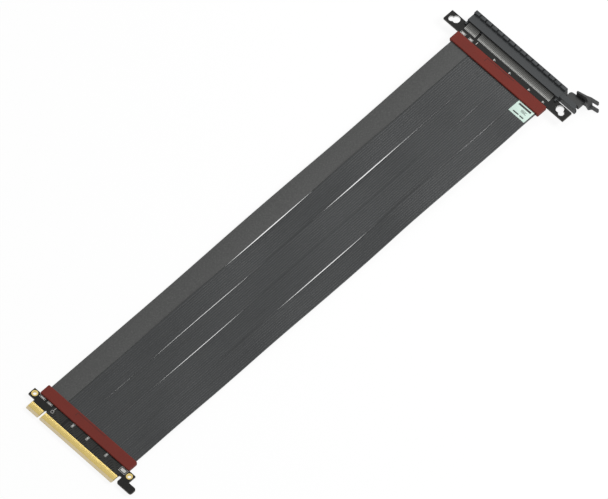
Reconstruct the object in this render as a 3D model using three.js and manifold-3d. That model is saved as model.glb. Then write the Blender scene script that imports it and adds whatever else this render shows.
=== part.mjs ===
// Flat riser cable for a graphics card: a card-edge board at one end, an edge socket with a
// retention latch at the other, and five flat ribbons side by side between two moulded strain reliefs.
//
// Millimetres. +X runs along the cable from the card edge to the socket, +Y across it, +Z up.
// The pieces are first drawn with x = 0 at the tip of the card edge and y = 0 on the ribbons' centre
// line, each end about the middle plane of its own board. The whole is then moved so that the origin
// is below the middle of the two ends, on the surface that the cable lies on.

import * as THREE from 'three';
import { mergeVertices } from 'three/addons/utils/BufferGeometryUtils.js';
import Module from 'manifold-3d';

const wasm = await Module();
wasm.setup();

// Clearances
const seat_gap = 0.1; // a board or ribbon in its moulded seat
const solder_gap = 0.05; // a contact's foot above the board
const running_gap = 0.2; // between the latch and what it turns in

// Boards, the same laminate at both ends
const board_thick = 1.6;
const plating_thick = 0.05;
const board_in_relief = 4.4; // how far a board reaches into its strain relief
const board_tab_inset = 0.5; // of that part's ends from the outer edge of the ribbons

// Card edge: contacts at one pitch on both faces, in a short and a long group
const contact_pitch = 1.0;
const short_count = 11;
const long_count = 71;
const group_step = 3.0; // from the last contact of the short group to the first of the long one
const finger_wide = 0.7;
const finger_end = 6.6; // the gold fingers run from the bevel to here
const tongue_margin = 0.65; // from the tongue's side to the centre of its first finger
const tongue_off_centre = 0.65; // the tongue's centre line from the ribbons' centre line
const bevel_long = 1.9;
const bevel_tip_thick = 0.6;
const notch_wide = 1.9;
const notch_deep = 8.2;
const notch_mouth_r = 0.3;
const notch_floor_flat = 0.1; // between the two rounded corners of its floor
const tongue_corner_r = 0.4;

// Card-edge board beyond its tongue
const step_x = 8.8; // where the tongue ends and the upper lug begins
const lug_out = 0.5; // the lugs' reach past the strain relief's front
const lug_corner_r = 0.3;
const lug_past_top = 5.5; // the upper lug's reach past the end of the strain relief
const lug_past_bottom = 6.7; // and the lower lug's
const plated_hole_x = 12.2;
const plated_hole_inset = 3.0; // from the end of each lug
const plated_hole_r = 1.5;
const plated_ring_r = 2.4;
const hook_front_x = 2.6;
const hook_back_x = 8.4;
const hook_gap = 2.6; // between the tongue and the hook
const hook_gap_end = 8.3; // the closed end of that gap
const hook_gap_r = 1.2;
const hook_past = 7.6; // the hook's reach past the lower lug
const hook_corner_r = 1.6;
const hook_heel_r = 0.5;

// Strain reliefs, one-piece mouldings round a board's edge and the ends of the ribbons
const relief_x = 14.8;
const relief_deep = 8.9;
const relief_wall_top = 1.9; // past the outer edge of the first ribbon
const relief_wall_bottom = 1.8; // and of the last one
const relief_thick = 4.0;
const relief_side_gap = 0.2; // to the lugs beside it
const relief_corner_r = 0.3;
const relief_edge_r = 0.6;
const frame_line_wide = 0.35; // a bare engraved frame line in the top face
const frame_line_deep = 0.25;
const frame_line_inset = 1.3; // from the ribbon side's face
const frame_top = 13.6;
const frame_bottom = -12.9;
const frame_tick_long = 3.2;

// Ribbons
const ribbon_count = 5;
const ribbon_wide = 16.6;
const ribbon_gap = 0.2; // between two neighbours
const ribbon_thick = 0.95;
const ribbon_edge_r = 0.3;
const free_span = 392.9; // between the two strain reliefs
const ribbon_lead = 12.0; // a ribbon's straight stretch outside each strain relief
const ribbon_sag = 1.0;
const ribbon_steps = 30;

// Heights of each ribbon's slack above its plain sagging line, at even steps along the free span
const slack_heights = [
  [0.0, -0.1, -0.25, -0.3, -0.1, 0.4, 0.9, 1.1, 0.85, 0.3, -0.4, -0.85, -0.75, -0.4, -0.1],
  [0.3, 0.3, 0.9, 1.3, 1.2, 0.5, -0.4, -0.8, -0.5, 0.4, 1.0, 0.9, 0.4, 0.1, 0.3],
  [0.0, 0.2, 0.4, 0.45, 0.2, -0.1, 0.0, 0.2, 0.1, -0.4, -0.9, -0.8, -0.2, -0.1, 0.1],
  [0.0, -0.1, -0.6, -0.7, -0.4, 0.2, 0.6, 0.8, 0.6, 0.1, -0.2, -0.1, 0.1, 0.0, -0.2],
  [0.5, 0.1, -0.4, -0.2, 0.3, 0.2, -0.4, -0.8, -0.75, -0.1, 0.95, 0.9, 0.3, -0.3, -0.55],
];

// Label on the last ribbon, beside the socket's strain relief
const label_long = 10.8;
const label_wide = 15.2;
const label_thick = 0.12;
const label_gap = 0.2; // to the strain relief
const label_edge = 0.9; // from the ribbon's outer edge
const label_corner_r = 0.4;

// Socket board
const socket_board_deep = 9.5; // from the strain relief's face to the board's far edge
const socket_lug_past_top = 15.1; // the upper lug's reach past the end of the strain relief
const socket_lug_past_bottom = 15.5; // and the lower lug's
const keyhole_large_r = 2.95;
const keyhole_small_r = 2.15;
const keyhole_x = 5.85; // the large circle's centre from the strain relief's face
const keyhole_inset = 7.3; // and from the lug's upper end
const keyhole_inset_lower = 8.1; // and from the lower lug's end
const keyhole_step_x = -1.8; // from the large circle's centre to the small one's
const keyhole_step_y = 2.9;
const socket_board_corner_r = 0.4;

// Socket housing
const housing_gap = 0.9; // from the board's edge to the back of the housing
const housing_deep = 9.5;
const housing_wall_top = 1.95; // past the notched side of a card's tongue
const housing_wall_bottom = 3.25; // and past its other side
const housing_thick = 7.5;
const slot_deep = 7.9;
const slot_wide = 1.9;
const slot_end_gap = 0.3; // past each side of a card's tongue
const lead_in = 0.8; // chamfer round the slot's mouth
const key_gap = 0.1; // a card's notch to the key, on each side
const block_count = 16;
const block_long = 5.0;
const block_end_out = 0.2; // the end blocks' reach past the ends of the housing
const block_deep = 3.0;
const block_proud = 0.9;
const block_chamfer = 0.35;
const guide_long = 2.0; // fork that the housing grips the board's edge with
const guide_wide = 1.3;
const guide_thick = 4.6;
const overlap = 0.5; // how far joined volumes of one moulding run into each other

// Socket contacts, moulded into strips that push into the housing from behind
const strip_deep = 1.9;
const strip_thick = 1.5;
const strip_low = 1.35; // the strip's inner face from the middle plane
const contact_wide = 0.55;
const contact_thick = 0.2;
const tail_long = 5.6; // from the housing's back to the end of the foot
const tail_foot = 1.5;
const tail_exit_z = 2.3; // a tail's centre where it leaves the strip
const spring_long = 5.2;
const spring_root_z = 2.0;
const spring_tip_z = 0.68;
const bay_overlap = 0.2; // how far a contact's bay opens into the slot

// Arm of the housing that carries the latch; each reach along Y is from the housing's lower end
const arm_back = 1.3; // behind it, from the housing's back
const arm_deep = 3.8;
const arm_reach = 14.65;
const arm_thick = 7.0;
const arm_web = 0.9;
const arm_ear = 0.95;
const arm_nose_r = 2.6;
const arm_heel_r = 0.6;

// Retention latch
const pivot_x = 2.4; // from the arm's back
const pivot_reach = 10.65;
const barrel_r = 1.25;
const neck_half = 2.4;
const stub_r = 0.8;
const stub_long = 0.6;
const latch_back_x = 4.1; // the latch's body from the arm's back
const latch_deep = 7.1;
const latch_gap = 2.15; // between the housing's lower end and the latch
const latch_reach = 14.25;
const latch_heel_r = 0.6;
const latch_toe_r = 0.3;
const latch_back_drop = 0.5; // of the upper back corner of the latch's body
const latch_back_r = 0.4;
const channel_clear = 1.0; // from the latch's upper end to the end of the arm's channel
const latch_slit = 2.0; // takes the hook of a card
const slit_front_wall = 1.7;
const slit_deep = 6.0;
const brow_deep = 3.8; // the sloping upper front corner of the latch's body
const brow_end_r = 0.8;
const brow_step = 1.7;
const brow_drop = 0.8;
const brow_r = 1.2;
const shoulder_step = 1.0; // where the pad leaves the body's front
const shoulder_rise = 0.8;
const shoulder_r = 0.5;
const shoulder_seat = 0.2;
const cheek_deep = 2.6; // the hollow in each side of the body, behind the pad
const cheek_depth = 1.3;
const cheek_past = 0.1; // how far the hollow's slope is drawn past the front
const pad_thick = 1.2;
const pad_tall = 13.0;
const pad_lean = 1.8; // how far the pad's lower end stands out past its upper one
const pad_top_reach = 6.95;
const pad_bend_reach = 14.45;
const pad_bend_r = 1.5;
const knee_back = 0.5; // the outer bend between the pad and its prongs
const knee_drop = 3.0;
const prong_step = 2.9; // from the pad's bend to the prongs' tips, along X
const prong_reach = 24.25;
const prong_tall = 2.9;
const prong_root_reach = 18.45;
const prong_tip_r = 0.5;
const crook_back = 0.8; // the inner bend between the prongs and their heel
const crook_drop = 1.0;
const crook_r = 1.0;
const heel_step = 2.6; // the thick root of the prongs, on the board's side
const heel_drop = 3.4;
const heel_r = 0.6;
const heel_root_back = 0.4;
const heel_root_drop = 0.2;

// Places that follow from the sizes above
const board_half = board_thick / 2;
const tongue_wide =
  2 * tongue_margin + (short_count + long_count - 2) * contact_pitch + group_step;
const tongue_top = tongue_off_centre + tongue_wide / 2;
const tongue_bottom = tongue_off_centre - tongue_wide / 2;
const first_contact_y = tongue_top - tongue_margin;
const long_group_y = first_contact_y - (short_count - 1) * contact_pitch - group_step;
const notch_y = long_group_y + group_step / 2;
const ribbon_pitch = ribbon_wide + ribbon_gap;
const ribbons_half = ((ribbon_count - 1) * ribbon_pitch + ribbon_wide) / 2;
const board_tab_half = ribbons_half - board_tab_inset;
const relief_top = ribbons_half + relief_wall_top;
const relief_bottom = -ribbons_half - relief_wall_bottom;
const male_lug_top = relief_top + lug_past_top;
const male_lug_bottom = relief_bottom - lug_past_bottom;
const hook_end = male_lug_bottom - hook_past;
const socket_lug_top = relief_top + socket_lug_past_top;
const socket_lug_bottom = relief_bottom - socket_lug_past_bottom;
const relief_front = relief_x;
const relief_back = relief_front + relief_deep;
const socket_relief_back = relief_back + free_span;
const socket_relief_front = socket_relief_back + relief_deep;
const socket_board_edge = socket_relief_front + socket_board_deep;
const housing_top = tongue_top + housing_wall_top;
const housing_bottom = tongue_bottom - housing_wall_bottom;
const housing_back = socket_board_edge + housing_gap;
const housing_mouth = housing_back + housing_deep;
const arm_x = housing_back + arm_back;
const arm_end = housing_bottom - arm_reach;
const pivot_y = housing_bottom - pivot_reach;
const latch_top = housing_bottom - latch_gap;
const male_plane_z = relief_thick / 2;
const socket_plane_z = pad_tall / 2;

// Finishes
const finish = (color, roughness, metalness) =>
  new THREE.MeshStandardMaterial({ color, roughness, metalness });
const laminate_finish = finish(0x383836, 0.45, 0.0);
const relief_finish = finish(0x70302b, 0.6, 0.0);
const power_jacket_finish = finish(0x505050, 0.7, 0.0);
const signal_jacket_finish = finish(0x414445, 0.6, 0.0);
const housing_finish = finish(0x3f4244, 0.55, 0.0);
const latch_finish = finish(0x3c3d3c, 0.55, 0.0);
const contact_finish = finish(0xb9b5a6, 0.35, 0.9);
const label_finish = finish(0xd7ebe1, 0.6, 0.0);

/** Closed solid from a geometry of three.js. */
function solidFrom(geometry) {
  const bare = geometry.clone();
  bare.deleteAttribute('normal');
  bare.deleteAttribute('uv');
  const merged = mergeVertices(bare, 1e-4);
  return new wasm.Manifold(
    new wasm.Mesh({
      numProp: 3,
      vertProperties: new Float32Array(merged.attributes.position.array),
      triVerts: new Uint32Array(merged.index.array),
    }),
  );
}

/** Geometry of three.js from a solid. */
function geometryFrom(solid) {
  const mesh = solid.getMesh();
  const geometry = new THREE.BufferGeometry();
  geometry.setAttribute('position', new THREE.BufferAttribute(mesh.vertProperties, 3));
  geometry.setIndex(new THREE.BufferAttribute(mesh.triVerts, 1));
  geometry.computeVertexNormals();
  return geometry;
}

/** Outline from corners [x, y, radius], each radius an arc tangent to both sides of its corner. */
function roundedOutline(corners, steps = 4) {
  const points = [];
  corners.forEach(([x, y, radius = 0], i) => {
    const corner = new THREE.Vector2(x, y);
    if (radius === 0) {
      points.push(corner);
      return;
    }
    const [before_x, before_y] = corners[(i + corners.length - 1) % corners.length];
    const [after_x, after_y] = corners[(i + 1) % corners.length];
    const before = new THREE.Vector2(before_x, before_y).sub(corner).normalize();
    const after = new THREE.Vector2(after_x, after_y).sub(corner).normalize();
    const half_angle = Math.acos(before.dot(after)) / 2;
    const middle = before.clone().add(after).normalize();
    const centre = corner.clone().addScaledVector(middle, radius / Math.sin(half_angle));
    const start = corner.clone().addScaledVector(before, radius / Math.tan(half_angle)).sub(centre);
    const end = corner.clone().addScaledVector(after, radius / Math.tan(half_angle)).sub(centre);
    const turn = Math.atan2(start.cross(end), start.dot(end));
    for (let step = 0; step <= steps; step += 1) {
      const spoke = start.clone().rotateAround(new THREE.Vector2(), (turn * step) / steps);
      points.push(spoke.add(centre));
    }
  });
  return new THREE.Shape(points);
}

/** Solid plate with an outline in X and Y, from z_low to z_high. */
function plate(shape, z_low, z_high) {
  const geometry = new THREE.ExtrudeGeometry(shape, { depth: z_high - z_low, bevelEnabled: false });
  return solidFrom(geometry.translate(0, 0, z_low));
}

/** Solid bar with a section [x, z], from y_low to y_high. */
function bar(section, y_low, y_high) {
  const shape = new THREE.Shape(section.map(([x, z]) => new THREE.Vector2(x, z)));
  const geometry = new THREE.ExtrudeGeometry(shape, { depth: y_high - y_low, bevelEnabled: false });
  return solidFrom(geometry.rotateX(Math.PI / 2).translate(0, y_high, 0));
}

/** Solid box between two corners. */
function block([x_low, y_low, z_low], [x_high, y_high, z_high]) {
  const geometry = new THREE.BoxGeometry(x_high - x_low, y_high - y_low, z_high - z_low);
  return solidFrom(
    geometry.translate((x_low + x_high) / 2, (y_low + y_high) / 2, (z_low + z_high) / 2),
  );
}

/** Solid disc or pin along Z. */
function pin(x, y, radius, z_low, z_high, sides = 24) {
  const geometry = new THREE.CylinderGeometry(radius, radius, z_high - z_low, sides);
  return solidFrom(geometry.rotateX(Math.PI / 2).translate(x, y, (z_low + z_high) / 2));
}

const join = (solids) => wasm.Manifold.union(solids);

/** Named mesh with one finish. */
function piece(name, solid, material) {
  const mesh = new THREE.Mesh(geometryFrom(solid), material);
  mesh.name = name;
  return mesh;
}

/** Centre of each contact along Y, for the short and the long group. */
function contactCentres(group) {
  const [start, count] = group === 'short'
    ? [first_contact_y, short_count]
    : [long_group_y, long_count];
  return Array.from({ length: count }, (_, i) => start - i * contact_pitch);
}

/** Board of the card edge, with its fingers, notch, hook, lugs and plated holes. */
function maleBoard() {
  const lug_edge = relief_front + lug_out;
  const relief_side_top = relief_top + relief_side_gap;
  const relief_side_bottom = relief_bottom - relief_side_gap;
  const waist_x = relief_front - relief_side_gap;
  const inner_x = relief_front + board_in_relief;
  const hook_top = tongue_bottom - hook_gap;
  const notch_low = notch_y - notch_wide / 2;
  const notch_high = notch_y + notch_wide / 2;
  const notch_r = (notch_wide - notch_floor_flat) / 2;
  const outline = roundedOutline([
    [0, tongue_top, tongue_corner_r],
    [0, notch_high, notch_mouth_r],
    [notch_deep, notch_high, notch_r],
    [notch_deep, notch_low, notch_r],
    [0, notch_low, notch_mouth_r],
    [0, tongue_bottom, tongue_corner_r],
    [hook_gap_end, tongue_bottom, hook_gap_r],
    [hook_gap_end, hook_top, hook_gap_r],
    [hook_front_x, hook_top, hook_corner_r],
    [hook_front_x, hook_end, hook_corner_r],
    [hook_back_x, hook_end, hook_corner_r],
    [hook_back_x, male_lug_bottom, hook_heel_r],
    [lug_edge, male_lug_bottom, lug_corner_r],
    [lug_edge, relief_side_bottom],
    [waist_x, relief_side_bottom],
    [waist_x, -board_tab_half],
    [inner_x, -board_tab_half],
    [inner_x, board_tab_half],
    [waist_x, board_tab_half],
    [waist_x, relief_side_top],
    [lug_edge, relief_side_top],
    [lug_edge, male_lug_top, lug_corner_r],
    [step_x, male_lug_top, lug_corner_r],
    [step_x, tongue_top],
  ]);
  const bevel_cut = [
    [-bevel_long, bevel_tip_thick - board_half],
    [bevel_long, board_half],
    [bevel_long, board_thick],
    [-bevel_long, board_thick],
  ];
  const mirrored = bevel_cut.map(([x, z]) => [x, -z]);
  const y_low = tongue_bottom - 1;
  const y_high = tongue_top + 1;
  const bare = plate(outline, -board_half, board_half)
    .subtract(bar(bevel_cut, y_low, y_high))
    .subtract(bar(mirrored.reverse(), y_low, y_high));

  const skin = board_half + plating_thick;
  const finger = [
    [bevel_long, -skin],
    [finger_end, -skin],
    [finger_end, skin],
    [bevel_long, skin],
  ];
  const fingers = [...contactCentres('short'), ...contactCentres('long')].map((y) =>
    bar(finger, y - finger_wide / 2, y + finger_wide / 2));
  const holes = [male_lug_top - plated_hole_inset, male_lug_bottom + plated_hole_inset];
  const rings = holes.map((y) => pin(plated_hole_x, y, plated_ring_r, -skin, skin));
  const bores = holes.map((y) => pin(plated_hole_x, y, plated_hole_r, -skin - 1, skin + 1));
  return piece(
    'male_board',
    join([bare, ...fingers, ...rings]).subtract(join(bores)),
    laminate_finish,
  );
}

/** Strain relief between x_low and x_high; board_side is -1 where its board leaves towards -X. */
function strainRelief(name, x_low, x_high, board_side) {
  const r = relief_edge_r;
  const shape = roundedOutline([
    [x_low + r, relief_bottom + r, relief_corner_r],
    [x_high - r, relief_bottom + r, relief_corner_r],
    [x_high - r, relief_top - r, relief_corner_r],
    [x_low + r, relief_top - r, relief_corner_r],
  ], 2);
  const body = solidFrom(new THREE.ExtrudeGeometry(shape, {
    depth: relief_thick - 2 * r,
    bevelEnabled: true,
    bevelThickness: r,
    bevelSize: r,
    bevelSegments: 3,
  }).translate(0, 0, r - relief_thick / 2));
  const board_face = board_side < 0 ? x_low : x_high;
  const ribbon_face = board_side < 0 ? x_high : x_low;
  const meet_x = board_face - board_side * (board_in_relief + seat_gap);
  const past_board = board_face + board_side;
  const past_ribbon = ribbon_face - board_side;
  const board_z = board_half + seat_gap;
  const ribbon_z = ribbon_thick / 2 + seat_gap;
  const ribbon_half = ribbons_half + seat_gap;
  const board_seat = block(
    [Math.min(meet_x, past_board), -board_tab_half - seat_gap, -board_z],
    [Math.max(meet_x, past_board), board_tab_half + seat_gap, board_z],
  );
  const ribbon_seat = block(
    [Math.min(meet_x, past_ribbon), -ribbon_half, -ribbon_z],
    [Math.max(meet_x, past_ribbon), ribbon_half, ribbon_z],
  );
  const line_x = x_high - frame_line_inset;
  const floor_z = relief_thick / 2 - frame_line_deep;
  const lid_z = relief_thick / 2 + 1;
  const long_line = block(
    [line_x - frame_line_wide, frame_bottom, floor_z],
    [line_x, frame_top, lid_z],
  );
  const tick = block(
    [line_x - frame_tick_long, frame_top - frame_line_wide, floor_z],
    [line_x, frame_top, lid_z],
  );
  return piece(
    name,
    body.subtract(join([board_seat, ribbon_seat, long_line, tick])),
    relief_finish,
  );
}

/** Middle line of one ribbon, in the frame of the whole cable. */
function ribbonRoute(index) {
  const y = ((ribbon_count - 1) / 2 - index) * ribbon_pitch;
  const end_gap = seat_gap * 2;
  const x_start = relief_front + board_in_relief + end_gap;
  const x_end = socket_relief_front - board_in_relief - end_gap;
  const x_wave = relief_back + ribbon_lead;
  const x_wave_end = socket_relief_back - ribbon_lead;
  const heights = slack_heights[index];
  const points = [
    new THREE.Vector3(x_start, y, male_plane_z),
    new THREE.Vector3(relief_back, y, male_plane_z),
    new THREE.Vector3(x_wave, y, male_plane_z),
  ];
  heights.forEach((height, i) => {
    const share = (i + 1) / (heights.length + 1);
    const line_z = THREE.MathUtils.lerp(male_plane_z, socket_plane_z, share);
    const sag = 4 * ribbon_sag * share * (1 - share);
    const x = THREE.MathUtils.lerp(x_wave, x_wave_end, share);
    points.push(new THREE.Vector3(x, y, line_z - sag + height));
  });
  points.push(
    new THREE.Vector3(x_wave_end, y, socket_plane_z),
    new THREE.Vector3(socket_relief_back, y, socket_plane_z),
    new THREE.Vector3(x_end, y, socket_plane_z),
  );
  return new THREE.CatmullRomCurve3(points);
}

/** Flat ribbon swept along its route. */
function ribbon(name, index, material) {
  const section = roundedOutline([
    [-ribbon_thick / 2, -ribbon_wide / 2, ribbon_edge_r],
    [ribbon_thick / 2, -ribbon_wide / 2, ribbon_edge_r],
    [ribbon_thick / 2, ribbon_wide / 2, ribbon_edge_r],
    [-ribbon_thick / 2, ribbon_wide / 2, ribbon_edge_r],
  ], 1);
  const geometry = new THREE.ExtrudeGeometry(section, {
    steps: ribbon_steps,
    extrudePath: ribbonRoute(index),
  });
  return piece(name, solidFrom(geometry), material);
}

/** Label lying on the straight end of the last ribbon. */
function ribbonLabel() {
  const y_low = label_edge - ribbons_half;
  const z_low = socket_plane_z + ribbon_thick / 2 + solder_gap;
  const x_high = socket_relief_back - label_gap;
  const shape = roundedOutline([
    [x_high - label_long, y_low, label_corner_r],
    [x_high, y_low, label_corner_r],
    [x_high, y_low + label_wide, label_corner_r],
    [x_high - label_long, y_low + label_wide, label_corner_r],
  ], 2);
  return piece('ribbon_label', plate(shape, z_low, z_low + label_thick), label_finish);
}

/** Board of the socket, with its lugs and keyholes. */
function socketBoard() {
  const inner_x = socket_relief_front - board_in_relief;
  const waist_x = socket_relief_front + relief_side_gap;
  const outline = roundedOutline([
    [inner_x, board_tab_half],
    [inner_x, -board_tab_half],
    [waist_x, -board_tab_half],
    [waist_x, socket_lug_bottom, socket_board_corner_r],
    [socket_board_edge, socket_lug_bottom, socket_board_corner_r],
    [socket_board_edge, socket_lug_top, socket_board_corner_r],
    [waist_x, socket_lug_top, socket_board_corner_r],
    [waist_x, board_tab_half],
  ], 2);
  const large_x = socket_relief_front + keyhole_x;
  const keyholes = [
    [large_x, socket_lug_top - keyhole_inset, 1],
    [large_x, socket_lug_bottom + keyhole_inset_lower, -1],
  ].flatMap(([x, y, side]) => [
    pin(x, y, keyhole_large_r, -board_thick, board_thick, 28),
    pin(x + keyhole_step_x, y + side * keyhole_step_y, keyhole_small_r, -board_thick, board_thick, 20),
  ]);
  return piece(
    'socket_board',
    plate(outline, -board_half, board_half).subtract(join(keyholes)),
    laminate_finish,
  );
}

/** Y range that one contact strip takes up, from the middle of its first and last contact. */
function stripRange(group) {
  const centres = contactCentres(group);
  return [centres.at(-1) - contact_pitch / 2, centres[0] + contact_pitch / 2];
}

/** Socket moulding: body with a keyed slot, blocks along its mouth, board guides and the latch arm. */
function socketHousing() {
  const half = housing_thick / 2;
  const body = bar([
    [housing_back, -half],
    [housing_mouth, -half],
    [housing_mouth, half],
    [housing_back, half],
  ], housing_bottom, housing_top);

  const block_base = half - overlap;
  const block_top = half + block_proud;
  const block_back = housing_mouth - block_deep;
  const block_section = [
    [block_back, block_base],
    [block_back, block_top - block_chamfer],
    [block_back + block_chamfer, block_top],
    [housing_mouth - block_chamfer, block_top],
    [housing_mouth, block_top - block_chamfer],
    [housing_mouth, block_base],
  ];
  const lower_section = block_section.map(([x, z]) => [x, -z]).reverse();
  const row_start = housing_bottom - block_end_out;
  const row_long = housing_top + block_end_out - row_start;
  const block_pitch = (row_long - block_long) / (block_count - 1);
  const blocks = Array.from({ length: block_count }, (_, i) => {
    const y = row_start + i * block_pitch;
    return [block_section, lower_section].map((section) => bar(section, y, y + block_long));
  }).flat();

  const guides = [housing_top - guide_wide, housing_bottom].map((y_low) => block(
    [socket_board_edge - guide_long, y_low, -guide_thick / 2],
    [housing_back + overlap, y_low + guide_wide, guide_thick / 2],
  ));
  const guide_slot = block(
    [socket_board_edge - guide_long - 1, housing_bottom - 1, -board_half - seat_gap],
    [socket_board_edge + seat_gap, housing_top + 1, board_half + seat_gap],
  );

  const slot_floor = housing_mouth - slot_deep;
  const slot_half = slot_wide / 2;
  const slot_section = [
    [slot_floor, -slot_half],
    [housing_mouth - lead_in, -slot_half],
    [housing_mouth, -slot_half - lead_in],
    [housing_mouth + 1, -slot_half - lead_in],
    [housing_mouth + 1, slot_half + lead_in],
    [housing_mouth, slot_half + lead_in],
    [housing_mouth - lead_in, slot_half],
    [slot_floor, slot_half],
  ];
  const key_half = notch_wide / 2 - key_gap;
  const slots = [
    bar(slot_section, notch_y + key_half, tongue_top + slot_end_gap),
    bar(slot_section, tongue_bottom - slot_end_gap, notch_y - key_half),
  ];
  const bay_front = housing_back + strip_deep + spring_long + 2 * seat_gap;
  const bays = ['short', 'long'].flatMap((group) => {
    const [y_low, y_high] = stripRange(group);
    return [-1, 1].map((side) => {
      const z_inner = side * (slot_half - bay_overlap);
      const z_outer = side * (strip_low + strip_thick + seat_gap);
      return block(
        [housing_back - 1, y_low - seat_gap, Math.min(z_inner, z_outer)],
        [bay_front, y_high + seat_gap, Math.max(z_inner, z_outer)],
      );
    });
  });
  const back_wall = block(
    [housing_back, housing_bottom, -strip_low + seat_gap],
    [slot_floor, housing_top, strip_low - seat_gap],
  );
  const shell = join([body, ...blocks]).subtract(join([...slots, ...bays]));
  return piece(
    'socket_housing',
    join([shell, back_wall, ...guides, latchArm()]).subtract(guide_slot),
    housing_finish,
  );
}

/** Channel beyond the lower end of the housing: a back web between two ears. */
function latchArm() {
  const half = arm_thick / 2;
  const x_front = arm_x + arm_deep;
  const outline = roundedOutline([
    [arm_x, housing_bottom + overlap],
    [arm_x, arm_end, arm_heel_r],
    [x_front, arm_end, arm_nose_r],
    [x_front, housing_bottom + overlap],
  ]);
  const channel = block(
    [arm_x + arm_web, arm_end - 1, arm_ear - half],
    [x_front + 1, latch_top + channel_clear, half - arm_ear],
  );
  const dimple = pin(
    arm_x + pivot_x, pivot_y, stub_r + running_gap / 2,
    -half + arm_ear - stub_long - running_gap / 2, half - arm_ear + stub_long + running_gap / 2,
  );
  return plate(outline, -half, half).subtract(join([channel, dimple]));
}

/** Strip of socket contacts, above the card when side is 1 and below it when side is -1. */
function contactStrip(name, group, side) {
  const [y_low, y_high] = stripRange(group);
  const back = housing_back + seat_gap;
  const front = housing_back + strip_deep;
  const foot_end = housing_back - tail_long;
  const foot_z = board_half + solder_gap;
  const t = contact_thick;
  const carrier = [
    [back, strip_low],
    [front, strip_low],
    [front, strip_low + strip_thick],
    [back, strip_low + strip_thick],
  ];
  const tail = [
    [foot_end, foot_z],
    [foot_end + tail_foot, foot_z],
    [back + overlap, tail_exit_z - t / 2],
    [back + overlap, tail_exit_z + t / 2],
    [foot_end + tail_foot, foot_z + t],
    [foot_end, foot_z + t],
  ];
  const spring = [
    [front - overlap, spring_root_z - t / 2],
    [front + spring_long, spring_tip_z - t / 2],
    [front + spring_long, spring_tip_z + t / 2],
    [front - overlap, spring_root_z + t / 2],
  ];
  const sided = (section) => {
    const flipped = section.map(([x, z]) => [x, side * z]);
    return side < 0 ? flipped.reverse() : flipped;
  };
  const contacts = contactCentres(group).flatMap((y) => [tail, spring].map((section) =>
    bar(sided(section), y - contact_wide / 2, y + contact_wide / 2)));
  return piece(name, join([bar(sided(carrier), y_low, y_high), ...contacts]), contact_finish);
}

/** Retention latch: a body with a slit for a card's hook, a pivot barrel and a forked finger pad. */
function retentionLatch() {
  const back = arm_x + latch_back_x;
  const front = back + latch_deep;
  const half = arm_thick / 2 - arm_ear - running_gap;
  const pivot = arm_x + pivot_x;
  const latch_bottom = housing_bottom - latch_reach;
  const pad_x = front - pad_thick;
  const pad_top = housing_bottom - pad_top_reach;
  const bend_x = pad_x + pad_lean;
  const bend_y = housing_bottom - pad_bend_reach;
  const tip_x = bend_x + prong_step;
  const prong_end = housing_bottom - prong_reach;
  const prong_root = housing_bottom - prong_root_reach;
  const body_outline = roundedOutline([
    [back, latch_bottom, latch_heel_r],
    [front, latch_bottom, latch_toe_r],
    [front, pad_top + shoulder_seat],
    [front - shoulder_step, pad_top + shoulder_rise, shoulder_r],
    [front - brow_step, latch_top - brow_drop, brow_r],
    [front - brow_deep, latch_top, brow_end_r],
    [back, latch_top - latch_back_drop, latch_back_r],
  ], 3);
  const neck = block(
    [pivot, pivot_y - barrel_r, -half],
    [back + overlap, pivot_y + neck_half, half],
  );
  const barrel = pin(pivot, pivot_y, barrel_r, -half, half, 20);
  const stubs = pin(pivot, pivot_y, stub_r, -half - stub_long, half + stub_long, 16);
  const slit = block(
    [back - 1, latch_top - slit_deep, -latch_slit / 2],
    [front - slit_front_wall, latch_top + 1, latch_slit / 2],
  );
  const cheek = [
    [front - cheek_deep, half],
    [front + cheek_past, half - cheek_depth],
    [front + cheek_past, half + 1],
    [front - cheek_deep, half + 1],
  ];
  const cheeks = [cheek, cheek.map(([x, z]) => [x, -z]).reverse()].map((section) =>
    bar(section, latch_bottom - 1, latch_top));
  const pad_outline = roundedOutline([
    [pad_x, pad_top],
    [pad_x + pad_thick, pad_top],
    [bend_x + pad_thick, bend_y, pad_bend_r],
    [tip_x - knee_back, bend_y - knee_drop, pad_bend_r],
    [tip_x + pad_thick / 2, prong_end, prong_tip_r],
    [tip_x - pad_thick, prong_end, prong_tip_r],
    [tip_x - pad_thick - crook_back, prong_root - crook_drop, crook_r],
    [bend_x - heel_step + pad_thick, bend_y - heel_drop, heel_r],
    [bend_x - heel_root_back, bend_y - heel_root_drop, heel_r],
  ], 3);
  const pad_half = pad_tall / 2;
  const fork = bar([
    [bend_x - pad_tall, prong_tall - pad_half],
    [tip_x + pad_tall, prong_tall - pad_half],
    [tip_x + pad_tall, pad_half - prong_tall],
    [bend_x - pad_tall, pad_half - prong_tall],
  ], prong_end - 1, prong_root);
  const body = join([
    plate(body_outline, -half, half).subtract(join(cheeks)),
    neck,
    barrel,
    stubs,
  ]).subtract(slit);
  const pad = plate(pad_outline, -pad_half, pad_half).subtract(fork);
  return piece('retention_latch', join([body, pad]), latch_finish);
}

const male_end = new THREE.Group();
male_end.position.z = male_plane_z;
male_end.add(
  maleBoard(),
  strainRelief('male_strain_relief', relief_front, relief_back, -1),
);

const socket_end = new THREE.Group();
socket_end.position.z = socket_plane_z;
socket_end.add(
  strainRelief('socket_strain_relief', socket_relief_back, socket_relief_front, 1),
  socketBoard(),
  socketHousing(),
  contactStrip('contact_strip_upper_short', 'short', 1),
  contactStrip('contact_strip_upper_long', 'long', 1),
  contactStrip('contact_strip_lower_short', 'short', -1),
  contactStrip('contact_strip_lower_long', 'long', -1),
  retentionLatch(),
);

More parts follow.
